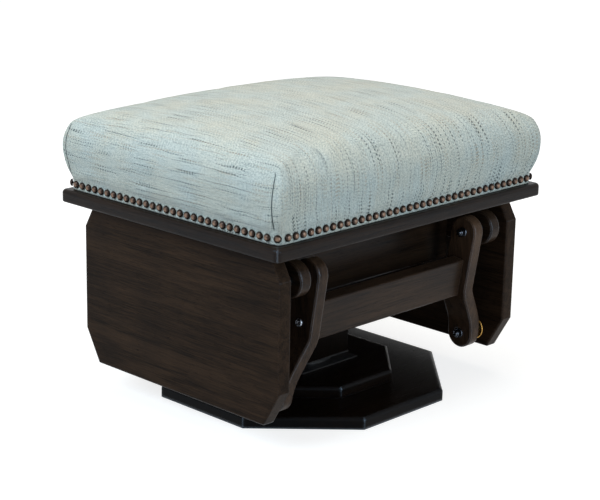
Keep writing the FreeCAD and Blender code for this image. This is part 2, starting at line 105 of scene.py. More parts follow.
# Upholstery nails and the dimples that they draw
NAIL_RADIUS = 0.0061
NAIL_HEIGHT = 0.0042
NAIL_STAND_OFF = 0.0008
NAIL_RISE = 0.010569
NAIL_Z = TOP_SURFACE + NAIL_RISE
NAILS_ALONG_X = 38
NAILS_ALONG_Y = 30
DIMPLE_DEPTH = 0.0011
DIMPLE_WIDTH = 0.0045
PUCKER_ABOVE = 0.018
PUCKER_BELOW = 0.006
PUCKER_REACH = 0.045

# Corner seams
SEAM_START = BAND_TOP + 0.004
SEAM_TOP = EAVE - 0.002
SEAM_INSET = 0.006
SEAM_BOW = 0.007
SEAM_FADE_TOP = 0.012
SEAM_FADE_FOOT = 0.010
GROOVE_DEPTH = 0.0028
GROOVE_WIDTH = 0.0050
GROOVE_ZONE = 0.88
THREAD_RADIUS = 0.0007
SEAM_FOOT_TAPER = 0.4
SEAM_TOP_TAPER = 0.2
SEAM_STEPS = 24


def clamped(value):
    return max(0.0, min(1.0, value))


# Colours

def srgb(red, green, blue):
    """A colour read off a screen, 0 to 255, as the linear values that shaders take."""
    def linear(value):
        value /= 255
        return value / 12.92 if value <= 0.04045 else ((value + 0.055) / 1.055) ** 2.4
    return (linear(red), linear(green), linear(blue), 1.0)


STAIN_DEEP = srgb(36, 27, 21)
STAIN_MIDDLE = srgb(68, 51, 39)
STAIN_PALE = srgb(86, 64, 47)
STAIN_BLOTCH = srgb(34, 27, 23)
STAIN_PORE = srgb(14, 10, 8)
STAIN_WORN = srgb(104, 78, 60)
# Blue tint on every reflection of the wood: painted reflection colour
PAINTED_REFLECTION_TINT = srgb(200, 228, 255)
BARE_FIBRE = srgb(120, 88, 58)
PLY_GLUE = srgb(134, 98, 64)

BRONZE_DULL = srgb(44, 35, 31)
BRONZE_RUBBED = srgb(132, 108, 92)
BRONZE_RIM = srgb(16, 12, 10)

CLOTH_CREAM = srgb(214, 212, 198)
CLOTH_AQUA = srgb(207, 213, 207)
WARP_SHADE = srgb(152, 164, 158)
WEFT_SHADE = srgb(158, 168, 162)
WARP_LIGHT = srgb(232, 234, 222)
PAINTED_HOLLOW_SHADE = srgb(110, 132, 138)
SLUB_DARK = srgb(40, 52, 54)
SLUB_GREY = srgb(84, 102, 108)
SLUB_TAN = srgb(160, 134, 100)
SPECKLE_DARK = srgb(104, 122, 126)
SPECKLE_LIGHT = srgb(238, 240, 232)

WHITE = (1.0, 1.0, 1.0, 1.0)


# Materials

class Shader:
    """A material under construction: one Principled shader and the nodes that feed it."""

    def __init__(self, name):
        self.material = bpy.data.materials.new(name)
        self.material.use_nodes = True
        self.tree = self.material.node_tree
        self.surface = self.tree.nodes["Principled BSDF"]

    def node(self, kind, inputs=None, **settings):
        made = self.tree.nodes.new("ShaderNode" + kind)
        for key, value in settings.items():
            setattr(made, key, value)
        for key, value in (inputs or {}).items():
            self.feed(value, made.inputs[key])
        return made

    def feed(self, value, socket):
        if isinstance(value, bpy.types.NodeSocket):
            self.tree.links.new(value, socket)
        else:
            socket.default_value = value

    def set(self, **values):
        """Sockets of the surface, named with underscores for spaces."""
        for key, value in values.items():
            self.feed(value, self.surface.inputs[key.replace("_", " ")])

    def math(self, operation, first, second=0.0, third=0.0):
        made = self.node("Math", {0: first, 1: second, 2: third}, operation=operation)
        return made.outputs[0]

    def ramp(self, value, low, high, to_low=0.0, to_high=1.0):
        """Value from low..high to to_low..to_high, clamped, smooth at both ends."""
        inputs = {"Value": value, "From Min": low, "From Max": high, "To Min": to_low, "To Max": to_high}
        made = self.node("MapRange", inputs, interpolation_type="SMOOTHSTEP")
        return made.outputs["Result"]

    def mix(self, factor, first, second):
        made = self.node("Mix", data_type="RGBA", blend_type="MIX")
        self.feed(factor, made.inputs[0])
        self.feed(first, made.inputs[6])
        self.feed(second, made.inputs[7])
        return made.outputs[2]

    def tint(self, colour, other, pattern, low, high, strength=1.0):
        """The colour turned to the other one, up to that strength, where the pattern nears high."""
        return self.mix(self.ramp(pattern, low, high, to_high=strength), colour, other)

    def object_coords(self):
        return self.node("TexCoord").outputs["Object"]

    def normal(self):
        return self.node("NewGeometry").outputs["Normal"]

    def cells(self, coords, size, place=(0, 0, 0), turn=(0, 0, 0)):
        """Coordinates counted in cells of that size, from a place, in a turned frame."""
        inputs = {"Vector": coords, "Location": place, "Rotation": turn, "Scale": size}
        return self.node("Mapping", inputs, vector_type="TEXTURE").outputs[0]

    def noise(self, coords, detail=2.0, roughness=0.5, distortion=0.0):
        inputs = {
            "Vector": coords,
            "Scale": 1.0,
            "Detail": detail,
            "Roughness": roughness,
            "Distortion": distortion,
        }
        return self.node("TexNoise", inputs).outputs["Fac"]

    def bump(self, height, distance, strength=1.0, normal=None):
        inputs = {"Height": height, "Distance": distance, "Strength": strength}
        if normal is not None:
            inputs["Normal"] = normal
        return self.node("Bump", inputs).outputs[0]

    def round_edges(self, radius):
        return self.node("Bevel", {"Radius": radius}, samples=6).outputs[0]


def even(size):
    """A cell as long in all three directions."""
    return (size, size, size)


def along_axis(axis, along, across):
    """A cell size that is long along one axis."""
    return tuple(along if name == axis else across for name in "XYZ")


def wood(name, axis, seed, lean=0.0, edge=0.004, gloss=0.08, tone_and_painted_light=0.72, edge_highlight=1.5):
    """Espresso stain on a close-grained board under a satin lacquer; the edges are lighter with wear and
    carry a painted highlight, and all reflections get a painted blue tint.
    """
    shader = Shader(name)
    coords = shader.object_coords()
    place = (0.31 * seed, 0.17 * seed, 0.23 * seed)
    turn = (lean, 0, 0)

    def grain(along, across, **settings):
        return shader.noise(shader.cells(coords, along_axis(axis, along, across), place, turn), **settings)

    figure = grain(along=0.34, across=0.019, detail=3.0, roughness=0.6, distortion=1.1)
    fibre = grain(along=0.05, across=0.0013, detail=2.0, roughness=0.65)
    pores = shader.ramp(grain(along=0.014, across=0.00075, detail=1.0), 0.60, 0.74)
    blotches = shader.noise(shader.cells(coords, even(0.12), place), detail=2.0)

    colour = shader.tint(STAIN_DEEP, STAIN_MIDDLE, figure, 0.32, 0.70)
    colour = shader.tint(colour, STAIN_PALE, fibre, 0.35, 0.72, strength=0.55)
    colour = shader.tint(colour, STAIN_BLOTCH, blotches, 0.35, 0.75, strength=0.45)
    colour = shader.mix(shader.math("MULTIPLY", pores, 0.7), colour, STAIN_PORE)

    rounded = shader.round_edges(edge)
    turned = shader.node("VectorMath", {0: rounded, 1: shader.normal()}, operation="DOT_PRODUCT")
    # Edges, found from the rounded normal: lighter with wear, and much more reflective, a painted highlight
    rubbed = shader.ramp(turned.outputs["Value"], 0.985, 0.80)
    worn = shader.math("MULTIPLY", rubbed, shader.ramp(fibre, 0.3, 0.7, to_high=0.25))
    colour = shader.mix(worn, colour, STAIN_WORN)
    # The stain is scaled per part: its tone, with painted light and painted shade in it
    colour = shader.node("VectorMath", {0: colour, "Scale": tone_and_painted_light}, operation="SCALE").outputs[0]

    roughness = shader.ramp(fibre, 0.2, 0.8, 0.26, 0.36)
    height = shader.math("MULTIPLY_ADD", pores, -0.6, shader.math("MULTIPLY", fibre, 0.5))
    shader.set(
        Base_Color=colour,
        Roughness=shader.math("MULTIPLY_ADD", pores, 0.18, roughness),
        Normal=shader.bump(height, 0.00016, 0.55, rounded),
        # Reflection far stronger on the edges, a painted highlight, and tinted blue, a painted reflection
        # colour
        Specular_IOR_Level=shader.math("MULTIPLY_ADD", rubbed, edge_highlight, gloss),
        Specular_Tint=PAINTED_REFLECTION_TINT,
    )
    return shader.material


def raw_wood(name, axis, seed, pale, deep, layers=0.0):
    """Unfinished wood for parts that nobody sees, with the plies of plywood where it has layers."""
    shader = Shader(name)
    coords = shader.object_coords()
    place = (0.21 * seed, 0.13 * seed, 0.37 * seed)
    figure_cells = shader.cells(coords, along_axis(axis, 0.25, 0.012), place)
    fibre_cells = shader.cells(coords, along_axis(axis, 0.03, 0.0009), place)
    figure = shader.noise(figure_cells, detail=3.0, distortion=0.8)
    fibre = shader.noise(fibre_cells, detail=2.0)
    colour = shader.tint(pale, deep, figure, 0.3, 0.7)
    colour = shader.tint(colour, BARE_FIBRE, fibre, 0.45, 0.75, strength=0.4)
    if layers:
        height = shader.node("SeparateXYZ", {0: coords}).outputs["Z"]
        wave = shader.math("SINE", shader.math("MULTIPLY", height, math.tau / layers))
        facing_up = shader.node("SeparateXYZ", {0: shader.normal()}).outputs["Z"]
        edge = shader.math("LESS_THAN", shader.math("ABSOLUTE", facing_up), 0.5)
        ply = shader.math("MULTIPLY", shader.ramp(wave, -0.3, 0.3, to_high=0.55), edge)
        colour = shader.mix(ply, colour, PLY_GLUE)
    shader.set(
        Base_Color=colour,
        Roughness=shader.ramp(fibre, 0.2, 0.8, 0.62, 0.82),
        Normal=shader.bump(fibre, 0.0002, 0.6),
    )
    return shader.material


def metal(name, colour, tarnish, roughness, cell, edge=0.0005, metallic=1.0):
    """Turned, plated or painted metal: fine scratches, dull patches and softened edges."""
    shader = Shader(name)
    coords = shader.object_coords()
    patches = shader.noise(shader.cells(coords, even(cell)), detail=4.0, roughness=0.6)
    scratches = shader.noise(shader.cells(coords, (cell * 2.5, cell * 0.06, cell * 0.06)), detail=2.0)
    shader.set(
        Base_Color=shader.tint(colour, tarnish, patches, 0.40, 0.72),
        Metallic=metallic,
        Roughness=shader.ramp(patches, 0.3, 0.75, roughness * 0.8, roughness * 1.35),
        Normal=shader.bump(scratches, 0.00005, 0.35, shader.round_edges(edge)),
    )
    return shader.material


def nail_metal():
    """Antique bronze: a brown dome rubbed bright in the middle, dark round its rim."""
    shader = Shader("nail_bronze")
    coords = shader.object_coords()
    dome = shader.node("Attribute", attribute_name="dome").outputs["Fac"]
    patches = shader.noise(shader.cells(coords, even(0.004)), detail=4.0, roughness=0.7)
    dents = shader.noise(shader.cells(coords, even(0.0016)), detail=2.0)
    middle = shader.ramp(dome, 0.70, 1.0)
    rubbed = shader.math("MULTIPLY", middle, shader.ramp(patches, 0.25, 0.65, to_low=0.35))
    colour = shader.mix(rubbed, BRONZE_DULL, BRONZE_RUBBED)
    shader.set(
        Base_Color=shader.tint(colour, BRONZE_RIM, dome, 0.36, 0.05),
        Metallic=0.9,
        Roughness=shader.ramp(patches, 0.3, 0.7, 0.24, 0.40),
        Normal=shader.bump(dents, 0.0003, 0.35),
    )
    return shader.material


def cotton(name, colour):
    """Twisted thread, a little uneven in tone."""
    shader = Shader(name)
    twist = shader.noise(shader.cells(shader.object_coords(), (0.001, 0.001, 0.0006)), detail=2.0)
    darker = tuple(channel * 0.6 for channel in colour[:3]) + (1.0,)
    shader.set(
        Base_Color=shader.tint(colour, darker, twist, 0.35, 0.65),
        Roughness=0.9,
        Normal=shader.bump(twist, 0.0002, 0.6),
    )
    return shader.material


def weave_cloth():
    """Ribbed cloth of pale aqua and cream yarn, with dark and tan slubs that show as dotted streaks.

    The map "weave" counts metres of cloth: u across the slubs, v along them.
    """
    shader = Shader("seat_fabric")
    flat = shader.node("UVMap", uv_map="weave").outputs["UV"]
    split = shader.node("SeparateXYZ", {0: flat})
    across = split.outputs["X"]
    along = split.outputs["Y"]

    def yarn(u_size, v_size, place, **settings):
        return shader.noise(shader.cells(flat, (u_size, v_size, 1.0), (place, place * 0.7, 0)), **settings)

    def wave(value, pitch):
        return shader.math("SINE", shader.math("MULTIPLY", value, math.tau / pitch))

    def slubs(u_size, v_size, place, low, high, dot_pitch):
        """Streaks broken into dots, which start at another place in each row of yarn."""
        streak = shader.ramp(yarn(u_size, v_size, place, detail=0.0), low, high)
        row = shader.math("FLOOR", shader.math("DIVIDE", across, 2 * u_size))
        chance = shader.node("TexWhiteNoise", {"W": row}, noise_dimensions="1D").outputs["Value"]
        dots = shader.ramp(wave(shader.math("MULTIPLY_ADD", chance, dot_pitch, along), dot_pitch), -0.2, 0.3)
        return shader.math("MULTIPLY", streak, dots)

    patch = yarn(0.07, 0.10, 1.3, detail=3.0, roughness=0.55)
    warp = yarn(0.0013, 0.030, 2.1, detail=2.0, roughness=0.6)
    weft = yarn(0.030, 0.0014, 4.7, detail=2.0, roughness=0.6)
    speckle = yarn(0.0019, 0.0023, 15.1, detail=0.0)
    ribs = wave(along, 0.0034)
    rows = wave(across, 0.0032)
    basket = shader.math("MULTIPLY", ribs, rows)
    dark = slubs(0.0024, 0.090, 8.3, 0.650, 0.685, dot_pitch=0.0056)
    grey = slubs(0.0020, 0.050, 21.7, 0.62, 0.68, dot_pitch=0.0056)
    tan = slubs(0.0026, 0.070, 12.9, 0.62, 0.68, dot_pitch=0.0060)

    colour = shader.tint(CLOTH_AQUA, CLOTH_CREAM, patch, 0.38, 0.62)
    colour = shader.tint(colour, WARP_SHADE, warp, 0.46, 0.66, strength=0.24)
    colour = shader.tint(colour, WEFT_SHADE, weft, 0.48, 0.70, strength=0.34)
    colour = shader.tint(colour, WARP_LIGHT, warp, 0.46, 0.30, strength=0.35)
    # Darker in the hollows of the basket weave: painted shade
    colour = shader.tint(colour, PAINTED_HOLLOW_SHADE, basket, 0.1, -0.9, strength=0.62)
    colour = shader.mix(shader.math("MULTIPLY", dark, 0.95), colour, SLUB_DARK)
    colour = shader.mix(shader.math("MULTIPLY", grey, 0.45), colour, SLUB_GREY)
    colour = shader.mix(shader.math("MULTIPLY", tan, 0.50), colour, SLUB_TAN)
    colour = shader.tint(colour, SPECKLE_DARK, speckle, 0.50, 0.72, strength=0.45)
    colour = shader.tint(colour, SPECKLE_LIGHT, speckle, 0.50, 0.30, strength=0.30)

    height = shader.math("MULTIPLY_ADD", basket, 0.45, shader.math("MULTIPLY", ribs, 0.2))
    height = shader.math("MULTIPLY_ADD", warp, 0.8, height)
    height = shader.math("MULTIPLY_ADD", weft, 0.7, height)
    shader.set(
        Base_Color=colour,
        Roughness=0.92,
        Specular_IOR_Level=0.25,
        Sheen_Weight=0.18,
        Sheen_Roughness=0.45,
        Normal=shader.bump(height, 0.00045, 0.6),
    )
    return shader.material


# Mesh helpers

def new_object(name, mesh, material):
    mesh.materials.append(material)
    piece = bpy.data.objects.new(name, mesh)
    scene.collection.objects.link(piece)
    return piece


def shade_smooth(mesh):
    mesh.polygons.foreach_set("use_smooth", [True] * len(mesh.polygons))


def turned_piece(profile, segments):
    """Vertices and faces of a profile of (radius, height) points turned round Z."""
    points = []
    faces = []
    rings = []
    for radius, height in profile:
        if radius == 0:
            rings.append([len(points)])
            points.append(Vector((0, 0, height)))
            continue
        rings.append(range(len(points), len(points) + segments))
        for step in range(segments):
            turn = math.tau * step / segments
            points.append(Vector((radius * math.cos(turn), radius * math.sin(turn), height)))
    for lower, upper in zip(rings, rings[1:]):
        for step in range(segments):
            following = (step + 1) % segments
            if len(lower) == 1:
                faces.append((lower[0], upper[following], upper[step]))
            elif len(upper) == 1:
                faces.append((lower[step], lower[following], upper[0]))
            else:
                faces.append((lower[step], lower[following], upper[following], upper[step]))
    return points, faces


def copies_mesh(name, form, places):
    """One mesh of a form repeated at each placing matrix."""
    points, faces = form
    all_points = []
    all_faces = []
    for place in places:
        start = len(all_points)
        all_points += [place @ point for point in points]
        all_faces += [tuple(start + index for index in face) for face in faces]
    mesh = bpy.data.meshes.new(name)
    mesh.from_pydata(all_points, [], all_faces)
    mesh.update()
    return mesh


def facing(place, direction):
    """Puts a form's Z axis along a direction, at a place."""
    turn = Vector(direction).to_track_quat("Z", "Y").to_matrix().to_4x4()
    return Matrix.Translation(place) @ turn


# Camera, light and floor

CAMERA_PLACE = (-1.9263, -1.8404, 0.9700)
CAMERA_YAW = 46.167
CAMERA_PITCH = -15.637
CAMERA_ROLL = 1.154
CAMERA_LENS = 100.9
CAMERA_SENSOR = 36.0

SKY_COLOUR = (0.90, 0.95, 1.0, 1.0)
SKY_STRENGTH = 0.12

FLOOR_REACH = 6.0
PAPER_LIGHT = (0.92, 0.92, 0.92, 1)
PAPER_DARK = (0.88, 0.88, 0.88, 1)
PAPER_INDIRECT = (0.38, 0.39, 0.40, 1)
GLOW_SHARE = 0.5
GLOW_NEAR, GLOW_FAR = 0.35, 1.3
GLOW_LOW, GLOW_HIGH = 1.56, 2.0


def make_camera():
    data = bpy.data.cameras.new("camera")
    data.lens = CAMERA_LENS
    data.sensor_width = CAMERA_SENSOR
    camera = bpy.data.objects.new("camera", data)
    scene.collection.objects.link(camera)
    yaw = Matrix.Rotation(math.radians(-CAMERA_YAW), 4, "Z")
    pitch = Matrix.Rotation(math.radians(90 + CAMERA_PITCH), 4, "X")
    roll = Matrix.Rotation(math.radians(CAMERA_ROLL), 4, "Z")
    camera.matrix_world = Matrix.Translation(CAMERA_PLACE) @ yaw @ pitch @ roll
    scene.camera = camera


def seen_directly(tree):
    """1 for rays that show the background: from the camera, in a reflection or through glass."""
    rays = tree.nodes.new("ShaderNodeLightPath")
    total = rays.outputs["Is Camera Ray"]
    for name in ("Is Glossy Ray", "Is Transmission Ray"):
        larger = tree.nodes.new("ShaderNodeMath")
        larger.operation = "MAXIMUM"
        tree.links.new(total, larger.inputs[0])
        tree.links.new(rays.outputs[name], larger.inputs[1])
        total = larger.outputs[0]
    return total


def make_world():
    """A faint sky that lights the object, behind which the background shows white."""
    world = bpy.data.worlds.new("studio")
    scene.world = world
    world.use_nodes = True
    tree = world.node_tree
    light = tree.nodes["Background"]
    light.inputs["Color"].default_value = SKY_COLOUR
    light.inputs["Strength"].default_value = SKY_STRENGTH
    white = tree.nodes.new("ShaderNodeBackground")
    white.inputs["Color"].default_value = WHITE
    white.inputs["Strength"].default_value = 1.0
    mix = tree.nodes.new("ShaderNodeMixShader")
    tree.links.new(seen_directly(tree), mix.inputs[0])
    tree.links.new(light.outputs[0], mix.inputs[1])
    tree.links.new(white.outputs[0], mix.inputs[2])
    tree.links.new(mix.outputs[0], tree.nodes["World Output"].inputs["Surface"])


def area_light(name, place, target, size, power, colour):
    data = bpy.data.lights.new(name, "AREA")
    data.shape = "SQUARE"
    data.size = size
    data.energy = power
    data.color = colour
    lamp = bpy.data.objects.new(name, data)
    scene.collection.objects.link(lamp)
    lamp.matrix_world = facing(Vector(place), Vector(place) - Vector(target))


def make_lights():
    """A cool key from the left, a warm one overhead and a cool one in front."""
    area_light("key", (-2.2, 0.25, 1.8), (0, 0, 0.30), size=1.4, power=52, colour=(0.74, 0.89, 1.0))
    area_light("top", (0.2, 0.1, 2.4), (0, 0, 0.3), size=1.8, power=29.5, colour=(1.0, 0.91, 0.78))
    area_light("front", (-0.1, -3.2, 1.0), (0, 0, 0.2), size=1.3, power=50, colour=(0.75, 0.90, 1.0))


def floor_paper():
    """White paper: it glows a little, more with distance, so that only the object's shadow shows."""
    shader = Shader("floor_paper")
    coords = shader.object_coords()
    grain = shader.noise(shader.cells(coords, even(0.02)), detail=3.0)
    direct = seen_directly(shader.tree)
    shader.set(
        Base_Color=shader.mix(direct, PAPER_INDIRECT, shader.tint(PAPER_DARK, PAPER_LIGHT, grain, 0.3, 0.7)),
        Roughness=0.9,
        Specular_IOR_Level=0.1,
    )
    distance = shader.node("VectorMath", {0: coords}, operation="LENGTH").outputs["Value"]
    strength = shader.ramp(distance, GLOW_NEAR, GLOW_FAR, GLOW_LOW, GLOW_HIGH)
    glow = shader.node("Emission", {"Color": WHITE, "Strength": strength})
    mix = shader.node("MixShader", {0: shader.math("MULTIPLY", direct, GLOW_SHARE)})
    shader.feed(shader.surface.outputs[0], mix.inputs[1])
    shader.feed(glow.outputs[0], mix.inputs[2])
    shader.feed(mix.outputs[0], shader.tree.nodes["Material Output"].inputs["Surface"])
    return shader.material


def make_floor():
    mesh = bpy.data.meshes.new("floor")
    corners = [(x * FLOOR_REACH, y * FLOOR_REACH, 0) for x, y in ((-1, -1), (1, -1), (1, 1), (-1, 1))]
    mesh.from_pydata(corners, [], [(0, 1, 2, 3)])
    new_object("floor", mesh, floor_paper())


# Cushion

def cushion_point(u, v, w):
    """Rest form of the cushion. u, v run from -1 to 1 over its plan and w from 0 at its foot to 1."""
    x = u * FOOT_X
    y = v * FOOT_Y
    z = FOOT_Z + w * (EAVE - FOOT_Z)
    radius = FOOT_RADIUS + (PLAN_RADIUS - FOOT_RADIUS) * w
    inner = Vector((
        max(radius - FOOT_X, min(FOOT_X - radius, x)),
        max(radius - FOOT_Y, min(FOOT_Y - radius, y)),
        min(EAVE - EDGE_RADIUS, z),
    ))
    plan = Vector((x, y)) - inner.xy
    if plan.length > 1e-9:
        plan *= max(abs(plan.x), abs(plan.y)) / plan.length / radius
    lift = (z - inner.z) / EDGE_RADIUS
    length = math.hypot(plan.length, lift)
    if length > 1e-9:
        reach = max(plan.length, lift) / length
        plan *= reach
        lift *= reach
    point = Vector((inner.x + plan.x * radius, inner.y + plan.y * radius, inner.z + lift * EDGE_RADIUS))
    rise = clamped((point.z - BAND_TOP) / (EAVE - BAND_TOP))
    corner = abs(u * v) ** EAR_SHARPNESS
    grow = BULGE * math.sin(math.pi * rise) ** BULGE_FULLNESS + FLARE * rise + EAR * corner * rise ** 2
    point.x *= 1 + grow / FOOT_X
    point.y *= 1 + grow / FOOT_Y
    if w == 1.0:
        fade_x = max(0.0, 1 - (point.x / (FOOT_X + FLARE)) ** 2)
        fade_y = max(0.0, 1 - (point.y / (FOOT_Y + FLARE)) ** 2)
        point.z += CROWN * (fade_x * fade_y) ** CROWN_FULLNESS + EAR * corner
    return point


def cushion_mesh():
    """A closed grid: four sides, the top and the underside, with the cloth's metres in a map."""
    bm = bmesh.new()
    cloth = bm.loops.layers.uv.new("weave")
    width = 2 * FOOT_X
    depth = 2 * FOOT_Y
    columns = round(width / CELL)
    rows = round(depth / CELL)
    levels = round((EAVE - FOOT_Z) / CELL)
    height = levels * CELL
    known = {}

    def vertex(i, j, k):
        key = (i, j, k)
        if key not in known:
            known[key] = bm.verts.new(cushion_point(2 * i / columns - 1, 2 * j / rows - 1, k / levels))
        return known[key]

    def patch(size_a, size_b, spot, metres):
        for a in range(size_a):
            for b in range(size_b):
                corners = [(a, b), (a + 1, b), (a + 1, b + 1), (a, b + 1)]
                face = bm.faces.new([vertex(*spot(*corner)) for corner in corners])
                for loop, corner in zip(face.loops, corners):
                    loop[cloth].uv = metres(*corner)

    patch(columns, rows, lambda a, b: (a, b, levels), lambda a, b: (a * CELL, b * CELL))
    patch(rows, columns, lambda a, b: (b, a, 0), lambda a, b: (b * CELL, a * CELL))
    patch(columns, levels, lambda a, b: (a, 0, b), lambda a, b: (a * CELL, (b - levels) * CELL))
    patch(levels, columns, lambda a, b: (b, rows, a), lambda a, b: (b * CELL, depth + (levels - a) * CELL))
    patch(rows, levels, lambda a, b: (columns, a, b), lambda a, b: (width + height - b * CELL, a * CELL))
    patch(levels, rows, lambda a, b: (0, b, a), lambda a, b: ((a - levels) * CELL, b * CELL))
    bmesh.ops.recalc_face_normals(bm, faces=bm.faces)
    free = [vertex for vertex in bm.verts if vertex.co.z > BAND_TOP]
    for _ in range(SMOOTHING):
        bmesh.ops.smooth_vert(bm, verts=free, factor=0.5, use_axis_x=True, use_axis_y=True, use_axis_z=True)
    mesh = bpy.data.meshes.new("cushion")
    bm.to_mesh(mesh)
    bm.free()
    return mesh


def add_stuffing(piece):
    """A cloth modifier that fills the cover with pressure and holds its foot."""
    held = piece.vertex_groups.new(name="nailed")
    for vertex in piece.data.vertices:
        grip = 1 - (vertex.co.z - BAND_TOP) / GRIP_HEIGHT
        held.add([vertex.index], clamped(grip), "REPLACE")
    cloth = piece.modifiers.new("stuffing", "CLOTH")
    cloth.settings.vertex_group_mass = "nailed"
    cloth.settings.effector_weights.gravity = 0
    cloth.settings.use_pressure = True
    cloth.settings.uniform_pressure_force = PRESSURE
    cloth.settings.tension_stiffness = STRETCH_STIFFNESS
    cloth.settings.compression_stiffness = STRETCH_STIFFNESS
    cloth.settings.bending_stiffness = BEND_STIFFNESS
    cloth.settings.shrink_min = -SWELL
    cloth.settings.quality = 6
    cloth.point_cache.frame_start = 1
    cloth.point_cache.frame_end = SIM_FRAMES
    return cloth


def inflate(piece):
    """Fills the cover like foam under tight cloth; its foot stays nailed down."""
    cloth = add_stuffing(piece)
    for step in range(1, SIM_FRAMES + 1):
        scene.frame_set(step)
    evaluated = piece.evaluated_get(bpy.context.evaluated_depsgraph_get())
    moved = [vertex.co.copy() for vertex in evaluated.to_mesh().vertices]
    evaluated.to_mesh_clear()
    piece.modifiers.remove(cloth)
    scene.frame_set(1)
    for vertex, end in zip(piece.data.vertices, moved):
        step = end - vertex.co
        if step.length > STEP_CAP:
            step *= STEP_CAP / step.length
        vertex.co += step
    piece.vertex_groups.clear()


def nail_row():
    """Each nail's place on the cover's foot and the direction it faces."""
    corner_x = FOOT_X - FOOT_RADIUS
    corner_y = FOOT_Y - FOOT_RADIUS
    reach = FOOT_RADIUS * math.sqrt(0.5)
    end_x = corner_x + reach
    end_y = corner_y + reach
    nails = []

    def spot(x, y):
        inner = Vector((max(-corner_x, min(corner_x, x)), max(-corner_y, min(corner_y, y))))
        out = Vector((x, y)) - inner
        out = out.normalized() if out.length > 1e-6 else Vector((0, 1))
        surface = inner + out * FOOT_RADIUS
        return Vector((surface.x, surface.y, NAIL_Z)), Vector((out.x, out.y, 0))

    for step in range(NAILS_ALONG_X):
        x = -end_x + 2 * end_x * step / NAILS_ALONG_X
        nails.append(spot(x, -FOOT_Y if step else -end_y))
        nails.append(spot(-x, FOOT_Y if step else end_y))
    for step in range(NAILS_ALONG_Y):
        y = -end_y + 2 * end_y * step / NAILS_ALONG_Y
        nails.append(spot(FOOT_X if step else end_x, y))
        nails.append(spot(-FOOT_X if step else -end_x, -y))
    return nails


def pull_in_at_nails(mesh, nails):
    """Each nail draws the cloth in, and a short pucker runs up from it."""
    for vertex in mesh.vertices:
        rise = vertex.co.z - NAIL_Z
        if rise > PUCKER_REACH:
            continue
        near = min(nails, key=lambda nail: (nail[0].xy - vertex.co.xy).length_squared)
        gap = (near[0].xy - vertex.co.xy).length
        dip = math.exp(-(gap / DIMPLE_WIDTH) ** 2)
        fade = math.exp(-(rise / (PUCKER_ABOVE if rise > 0 else PUCKER_BELOW)) ** 2)
        vertex.co -= near[1] * DIMPLE_DEPTH * dip * fade


def seam_offset(z):
    """How far the dart lies from its corner, along the end face, and how much of it shows there."""
    rise = clamped((z - BAND_TOP) / (SEAM_TOP - BAND_TOP))
    shown_above = (SEAM_TOP + SEAM_FADE_TOP / 2 - z) / SEAM_FADE_TOP
    shown_below = (z - BAND_TOP) / SEAM_FADE_FOOT
    return SEAM_INSET + SEAM_BOW * math.sin(math.pi * rise), clamped(min(shown_above, shown_below))


def press_seams(mesh):
    """The dart beside each corner: a shallow groove from the nails to the turn of the top."""
    for vertex in mesh.vertices:
        x, y, z = vertex.co
        if min(abs(x) / FOOT_X, abs(y) / FOOT_Y) < GROOVE_ZONE or z < BAND_TOP:
            continue
        offset, shown = seam_offset(z)
        beside = abs(x) - FOOT_X - (abs(y) - FOOT_Y) - offset
        out = Vector((math.copysign(1, x), math.copysign(1, y), 0)).normalized()
        vertex.co -= out * GROOVE_DEPTH * shown * math.exp(-(beside / GROOVE_WIDTH) ** 2)


def seam_places(tree, side_x, side_y):
    """Points on the cushion along the groove at one corner, from the foot up."""
    out = Vector((side_x, side_y, 0)).normalized()
    across = Vector((side_x, -side_y, 0)).normalized()
    well_outside = 0.08
    above_cloth = 0.0001
    places = []
    for step in range(SEAM_STEPS + 1):
        z = SEAM_START + (EAVE - SEAM_START) * step / SEAM_STEPS
        offset, _ = seam_offset(z)
        start = Vector((side_x * FOOT_X, side_y * FOOT_Y, z)) + across * offset * math.sqrt(0.5)
        place, normal, _, _ = tree.ray_cast(start + out * well_outside, -out)
        if place is not None:
            places.append(place + normal * above_cloth)
    return places


def make_seam_shade_lines(cushion, thread):
    """A line of stitching in each groove, coloured dark: painted shade in the groove."""
    tree = BVHTree.FromObject(cushion, bpy.context.evaluated_depsgraph_get())
    curve = bpy.data.curves.new("corner_seam_shade_lines", "CURVE")
    curve.dimensions = "3D"
    curve.bevel_depth = THREAD_RADIUS
    curve.bevel_resolution = 2
    for side_x in (-1, 1):
        for side_y in (-1, 1):
            places = seam_places(tree, side_x, side_y)
            spline = curve.splines.new("POLY")
            spline.points.add(len(places) - 1)
            for point, place in zip(spline.points, places):
                point.co = (*place, 1.0)
            spline.points[0].radius = SEAM_FOOT_TAPER
            spline.points[-1].radius = SEAM_TOP_TAPER
    shape = bpy.data.objects.new("seam_curve", curve)
    scene.collection.objects.link(shape)
    mesh = bpy.data.meshes.new_from_object(shape.evaluated_get(bpy.context.evaluated_depsgraph_get()))
    bpy.data.objects.remove(shape)
    mesh.materials.clear()
    piece = new_object("corner_seam_shade_lines", mesh, thread)
    shade_smooth(mesh)
    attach(piece, "seat")


def make_cushion(fabric):
    piece = new_object("cushion", cushion_mesh(), fabric)
    inflate(piece)
    pull_in_at_nails(piece.data, nail_row())
    subdivide = piece.modifiers.new("finer", "SUBSURF")
    subdivide.levels = 1
    subdivide.render_levels = 1
    bpy.context.view_layer.objects.active = piece
    bpy.ops.object.modifier_apply(modifier=subdivide.name)
    press_seams(piece.data)
    shade_smooth(piece.data)
    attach(piece, "seat")
    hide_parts("seat_cover", "seat_foam")
    return piece


